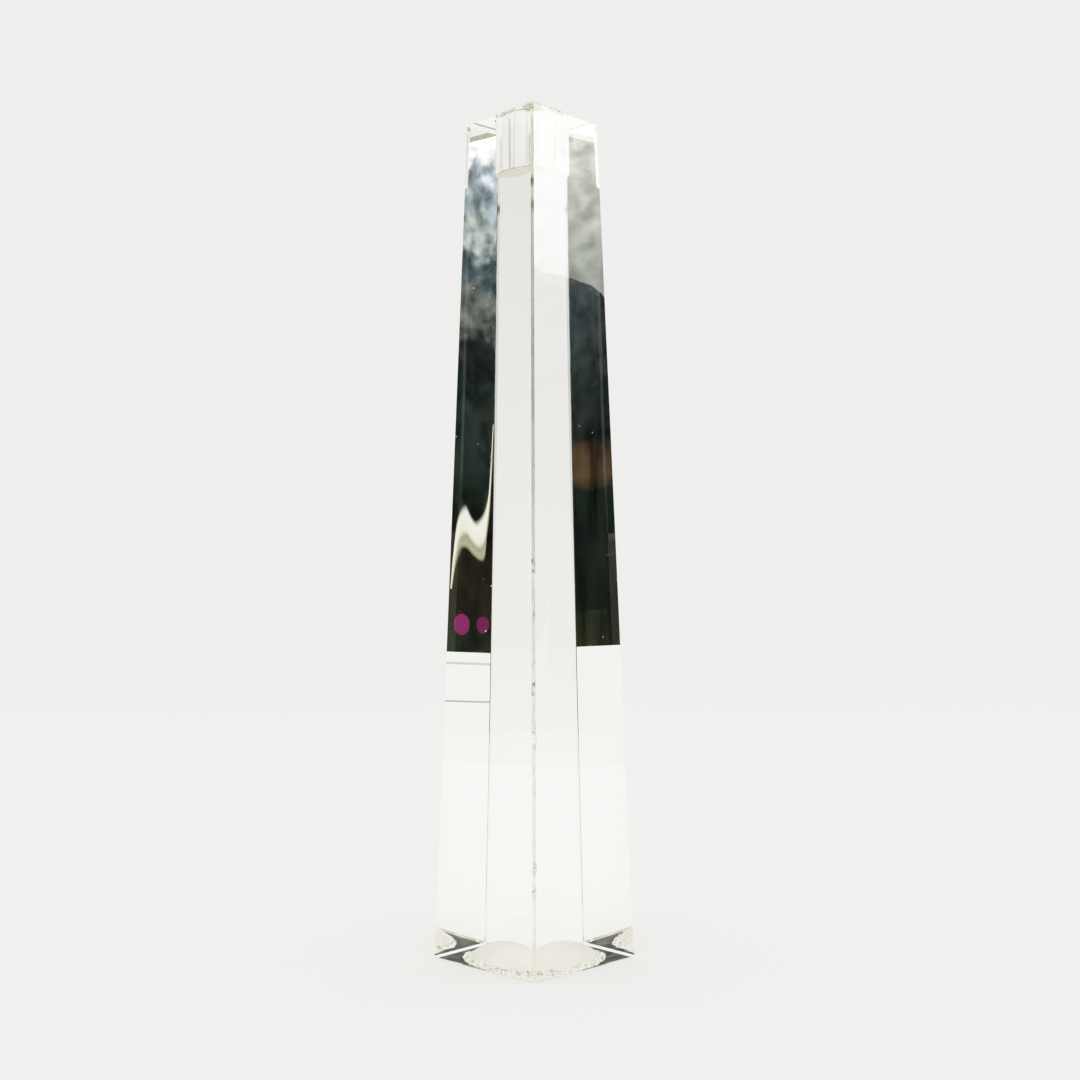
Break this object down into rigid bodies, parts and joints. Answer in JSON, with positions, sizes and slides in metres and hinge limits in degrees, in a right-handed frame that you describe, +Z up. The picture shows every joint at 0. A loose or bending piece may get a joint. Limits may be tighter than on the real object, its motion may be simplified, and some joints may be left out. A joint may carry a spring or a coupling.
{
  "type": "crystal award",
  "caption": "Clear tapered square crystal column with bevelled edges, a blind socket in its top and a shallow ground hollow in its base.",
  "frame": {"origin": "middle of the base, at the level of the surface it stands on", "axes": "+Z up along the column's axis towards the socket; the four faces look along +X, -X, +Y and -Y"},
  "size_m": [0.0508, 0.0508, 0.3],
  "materials": {
    "clear_crystal": "polished optical crystal, index about 1.517; ground matt inside the base hollow"
  },
  "bodies": {
    "root": {"crystal_column": "clear_crystal"}
  },
  "joints": []
}
